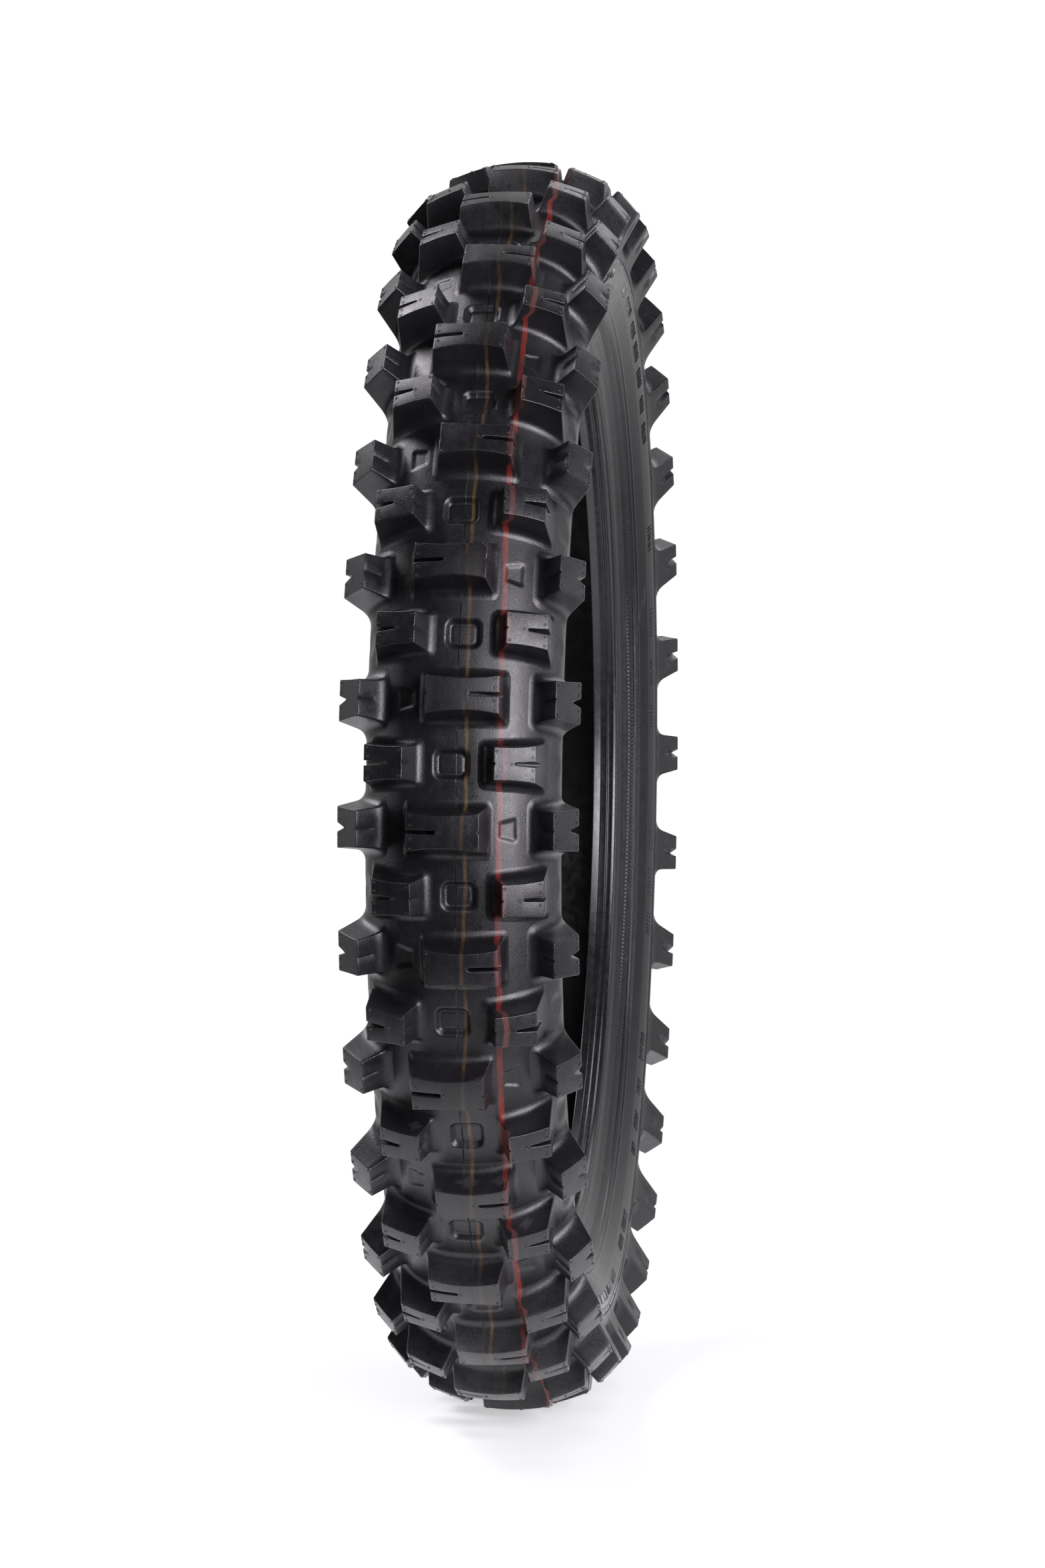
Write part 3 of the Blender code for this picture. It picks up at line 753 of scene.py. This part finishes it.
class Knob:
    """One knob, built once in row-local angle and then placed round the tire."""

    def __init__(self, inner, outer, base, cuts, levels, flare, nubs, crown=None,
                 edge=0.45):
        (self.y0, self.r0, a0), (self.y1, self.r1, a1) = inner, outer
        self.L = math.hypot(self.y1 - self.y0, self.r1 - self.r0)
        if crown:
            self.L = self.y1 - self.y0
        self.crown = crown
        self.base = base            # (s0, half angle 0), (s1, half angle 1)
        ha, hb = a0 * self.r0, a1 * self.r1
        plain, cut, kind, cap, self.half = outline(self.L, ha, hb, *cuts)
        n = len(plain)
        mp, mc = mitres(plain), mitres(cut)
        rings = []
        # fillet from the casing up into the wall
        sb = 0.5 * (base[0][0] + base[1][0])
        rm = float(cas(np.array([sb]))[1][0])
        bs, bt = self.foot(plain)
        q = np.c_[bs, bt * rm]
        mq = mitres(q)
        along = np.abs(mq[:, 0]) / np.maximum(np.hypot(mq[:, 0], mq[:, 1]), 1e-9)
        fl = flare[1] + (np.where(mq[:, 0] > 0, flare[2], flare[0]) - flare[1]) * along
        E = q + mq * fl[:, None]
        Epos = on_casing(E[:, 0], E[:, 1] / rm, -0.10)
        Bpos = self.low(plain)
        W = self.level(plain, levels[0])
        for t_ in (0, 0.12, 0.25, 0.4, 0.55, 0.7, 0.85, 1.0):
            rings.append((1 - t_) ** 2 * Epos + 2 * t_ * (1 - t_) * Bpos + t_ * t_ * W)

        def shaped(g, gn, off=0.0):
            g_ = np.where(kind == 1, g, np.where(kind == 2, gn, 0.0))[:, None]
            return plain + (cut - plain) * g_ - mc * off

        _, hs, mode, nick_low = levels
        H = float(np.linalg.norm(self.high(plain) - Bpos, axis=1).mean()) / MM
        if mode == "floor":
            rings.append(self.level(shaped(0, nick_low), hs))
            rings.append(self.level(shaped(1, nick_low), hs + 0.001))
            steps = np.linspace(hs, 1 - edge / H, 4)[1:]
            for h in steps:
                rings.append(self.level(shaped(1, nick_low + (1 - nick_low) * h), h))
        else:
            for h in np.linspace(levels[0], 1 - edge / H, 7)[1:]:
                g = np.clip((h - hs) / (1 - hs), 0, 1)
                rings.append(self.level(shaped(g, nick_low + (1 - nick_low) * h), h))
        for a in (0.42, 0.85, 1.2, 1.571):
            rings.append(self.level(shaped(1, 1, edge * (1 - math.cos(a))),
                                    1 - edge / H * (1 - math.sin(a))))
        V = np.concatenate(rings)
        f = []
        for k in range(len(rings) - 1):
            for i in range(n):
                j = (i + 1) % n
                f.append((k * n + i, k * n + j, (k + 1) * n + j, (k + 1) * n + i))
        top = (len(rings) - 1) * n
        f += [tuple(top + i for i in c) for c in cap]
        f.append(tuple(range(n))[::-1])
        self.verts, self.faces = [V], f
        self.n = len(V)
        for x, tt in nubs:
            self.nub(x, tt)
        self.verts = np.concatenate(self.verts)

    def foot(self, p):
        u = p[:, 0] / self.L
        v = p[:, 1] / np.array([self.half(min(max(x, 0), self.L)) for x in p[:, 0]])
        (s0, a0), (s1, a1) = self.base
        return s0 + (s1 - s0) * u, v * (a0 + (a1 - a0) * u)

    def low(self, p):
        s, th_ = self.foot(p)
        return on_casing(s, th_)

    def high(self, p):
        u = p[:, 0] / self.L
        y = self.y0 + (self.y1 - self.y0) * u
        if self.crown:
            r = self.crown - 0.0050 * y * y
        else:
            r = self.r0 + (self.r1 - self.r0) * u + 0.35 * np.sin(np.clip(u, 0, 1) * math.pi)
        return turn(y, r, p[:, 1] / r)

    def level(self, p, h):
        return self.low(p) * (1 - h) + self.high(p) * h

    def nub(self, x, t_):
        o = self.high(np.array([[x, t_]]))[0]
        ax = self.high(np.array([[x + 0.3, t_]]))[0] - o
        at = self.high(np.array([[x, t_ + 0.3]]))[0] - o
        ax /= np.linalg.norm(ax)
        at /= np.linalg.norm(at)
        nz = np.cross(ax, at)
        k = 10
        V = []
        for r, h in NUB:
            for a in np.arange(k) * 2 * math.pi / k:
                V.append(o + (ax * math.cos(a) + at * math.sin(a)) * r * MM + nz * h * MM)
        b = self.n
        for i in range(len(NUB) - 1):
            for j in range(k):
                j2 = (j + 1) % k
                self.faces.append((b + i * k + j, b + i * k + j2,
                                   b + (i + 1) * k + j2, b + (i + 1) * k + j))
        self.faces.append(tuple(b + (len(NUB) - 1) * k + j for j in range(k)))
        self.faces.append(tuple(b + j for j in range(k))[::-1])
        self.verts.append(np.array(V))
        self.n += len(V)

    def place(self, mesh, theta, mirror):
        c, s = math.cos(theta), math.sin(theta)
        v = self.verts
        y = -v[:, 1] if mirror else v[:, 1]
        w = np.c_[v[:, 0] * c - v[:, 2] * s, y, v[:, 0] * s + v[:, 2] * c]
        mesh.add(w, self.faces, flip=mirror)


def rad(a):
    return math.radians(a)


def sy(y):
    return s_at_y(y)


WIDE = Knob((-13.6, TOP_R, rad(1.59)), (22.1, TOP_R, rad(1.59)),
            ((sy(-15.9), rad(1.98)), (sy(23.6), rad(1.98))),
            (1.7, 14.6, 1.9, 1.9, 0.75),
            (0.30, 0.50, "floor", 0.0), (3.6, 5.0, 3.0),
            [(33.6, -7.9), (33.6, -3.1), (33.6, 3.3), (33.6, 7.9), (1.7, -7.9),
             (1.7, 7.9), (19.5, 0.0)], crown=TOP_R)
MIDS = {}
for shift in (-B_SHIFT, B_SHIFT):
    MIDS[shift] = Knob((22.3 + shift, 338.4 - 0.14 * shift, rad(1.37)),
                       (42.0 + shift, 330.7 - 0.5 * shift, rad(1.59)),
                       ((sy(16.6 + shift), rad(1.62)), (sy(42.7 + 0.4 * shift), rad(2.05))),
                       (0.55, 10.4, 2.5, 1.1, 0.7),
                       (0.30, 0.52, "floor", 0.55), (5.6, 4.6, 2.6),
                       [(19.4, -7.4), (19.4, -2.8), (19.4, 3.3), (19.4, 7.5), (1.6, -6.2),
                        (1.6, 6.2), (9.3, 0.0)])
EDGE = Knob((48.0, 325.7, rad(1.60)), (59.2, 313.0, rad(1.89)),
            ((sy(36.6), rad(1.88)), (s_at_r(293.5), rad(2.50))),
            (0.25, 5.9, 4.5, 0.4, 0.7),
            (0.34, 0.36, "taper", 0.9), (5.0, 6.6, 3.2),
            [(15.6, -8.3), (15.6, -3.6), (15.6, 3.7), (15.6, 8.3), (1.6, -7.2), (1.6, 7.2)])

wide, mids, edges = Mesh(), Mesh(), Mesh()
for k in range(ROWS):
    ta_ = TH_A + k * PITCH
    par_ = -1 if k % 2 == 0 else 1
    WIDE.place(wide, ta_, par_ < 0)
    EDGE.place(edges, ta_, False)
    EDGE.place(edges, ta_, True)
    tb_ = ta_ + PITCH / 2
    shift = B_SHIFT * par_
    MIDS[shift].place(mids, tb_, False)
    MIDS[-shift].place(mids, tb_, True)
for m, name in ((wide, "tread_cap_wide_blocks"), (mids, "tread_cap_middle_knobs"),
                (edges, "tread_cap_shoulder_knobs")):
    show(m.obj(name, M_TREAD, 38), "tread_cap")

# --------------------------------------------------------- floor and lights
low_z = min(float((o.matrix_world @ Vector(c)).z) for o in bpy.data.objects
            if o.type == "MESH" and o.name.startswith("tread_cap_wide")
            for c in o.bound_box)
ft = Tree("studio_floor")
fn = ft.noise(3.0, 3.0)
ft.put(ft.b.inputs["Base Color"], ft.mix(fn, (0.86, 0.86, 0.87), (0.90, 0.90, 0.91)))
ft.put(ft.b.inputs["Roughness"], ft.ramp(fn, 0.2, 0.8, 0.8, 0.9))
ft.b.inputs["Specular IOR Level"].default_value = 0.1
ft.b.inputs["Emission Color"].default_value = (0.99, 0.99, 1.0, 1.0)
ft.b.inputs["Emission Strength"].default_value = 0.46
far = ft.ramp(ft.m("SQRT", ft.m("ADD", ft.m("MULTIPLY", ft.x, ft.x),
                                ft.m("MULTIPLY", ft.y, ft.y))), 0.30, 0.75)
clear = ft.t.nodes.new("ShaderNodeBsdfTransparent")
both = ft.t.nodes.new("ShaderNodeMixShader")
ft.t.links.new(far, both.inputs[0])
ft.t.links.new(ft.b.outputs[0], both.inputs[1])
ft.t.links.new(clear.outputs[0], both.inputs[2])
ft.t.links.new(both.outputs[0], ft.t.nodes["Material Output"].inputs["Surface"])
fm = Mesh()
g = np.linspace(-1, 1, 25)
g = np.sign(g) * np.abs(g) ** 1.2 * 0.95
X, Y = np.meshgrid(g, g, indexing="ij")
fm.grid(np.stack([X, Y, np.full_like(X, low_z)], -1))
floor = fm.obj("studio_floor_sheet", ft.mat)

PSI, ELEV, ROLL = math.radians(6.20), math.radians(3.87), math.radians(-0.353)
DIST = 7.437 * R0 * MM
eye = Vector((math.cos(ELEV) * math.cos(PSI), math.cos(ELEV) * math.sin(PSI),
              math.sin(ELEV))) * DIST
fwd = -eye.normalized()
rt = fwd.cross(Vector((0, 0, 1))).normalized()
up = rt.cross(fwd)
right2 = rt * math.cos(ROLL) - up * math.sin(ROLL)
up2 = rt * math.sin(ROLL) + up * math.cos(ROLL)
cam_data = bpy.data.cameras.new("camera")
cam_data.sensor_fit = "VERTICAL"
cam_data.sensor_height = 24.0
cam_data.lens = 6935.0 * 24.0 / 2352.0
cam_data.shift_x = -7.88 / 2352.0
cam_data.shift_y = 2.38 / 2352.0
cam_data.clip_start = 0.01
cam_data.clip_end = 100.0
cam = bpy.data.objects.new("camera", cam_data)
mat4 = Matrix((right2, up2, -fwd)).transposed().to_4x4()
mat4.translation = eye
cam.matrix_world = mat4
bpy.context.scene.collection.objects.link(cam)
bpy.context.scene.camera = cam


def area(name, az, el, dist, w, h, power, colour=(1, 1, 1), target=(0, 0, 0)):
    """Softbox seen from the tire at az (deg from +X towards +Y) and el."""
    a, e = math.radians(az), math.radians(el)
    p = Vector((math.cos(e) * math.cos(a), math.cos(e) * math.sin(a), math.sin(e))) * dist
    d = bpy.data.lights.new(name, "AREA")
    d.shape = "RECTANGLE"
    d.size, d.size_y = w, h
    d.energy = power
    d.color = colour
    o = bpy.data.objects.new(name, d)
    o.location = p + Vector(target)
    o.rotation_euler = (Vector(target) - o.location).to_track_quat("-Z", "Y").to_euler()
    bpy.context.scene.collection.objects.link(o)
    return o


TINT = (1.0, 0.965, 1.035)
area("key_right", 43, 17, 2.6, 0.66, 1.30, 35, TINT)
area("key_low", 43, -5, 2.8, 0.80, 1.20, 20, TINT)
area("front_right", 30, 8, 2.8, 0.70, 1.20, 28, TINT)
area("side_right", 70, 10, 2.8, 0.80, 1.60, 5, TINT)
area("front_fill", 15, 25, 2.8, 1.0, 1.0, 9, TINT)
area("top_left_back", -112, 50, 2.8, 1.2, 1.7, 48, TINT)
area("side_left", -84, 8, 3.0, 0.8, 2.4, 9, TINT)
area("rim_right", 102, 4, 3.0, 0.30, 2.4, 13, TINT)
area("back_high", 160, 40, 2.8, 1.5, 1.5, 10, TINT)

w = bpy.data.worlds.new("studio_world")
w.use_nodes = True
bpy.context.scene.world = w
wt = w.node_tree
wb = wt.nodes["Background"]
wc = wt.nodes.new("ShaderNodeTexCoord")
dot = wt.nodes.new("ShaderNodeVectorMath")
dot.operation = "DOT_PRODUCT"
wt.links.new(wc.outputs["Generated"], dot.inputs[0])
dot.inputs[1].default_value = (math.cos(PSI), math.sin(PSI), 0.0)
mr = wt.nodes.new("ShaderNodeMapRange")
wt.links.new(dot.outputs["Value"], mr.inputs["Value"])
for k, v in (("From Min", -1.0), ("From Max", 0.1), ("To Min", 0.64), ("To Max", 0.02)):
    mr.inputs[k].default_value = v
lp = wt.nodes.new("ShaderNodeLightPath")
mx = wt.nodes.new("ShaderNodeMix")
mx.data_type = "FLOAT"
wt.links.new(lp.outputs["Is Camera Ray"], mx.inputs[0])
wt.links.new(mr.outputs["Result"], mx.inputs[2])
mx.inputs[3].default_value = 1.05
wt.links.new(mx.outputs[0], wb.inputs["Strength"])
wb.inputs["Color"].default_value = (0.99, 0.99, 1.0, 1.0)
bpy.context.scene.view_settings.view_transform = "Standard"
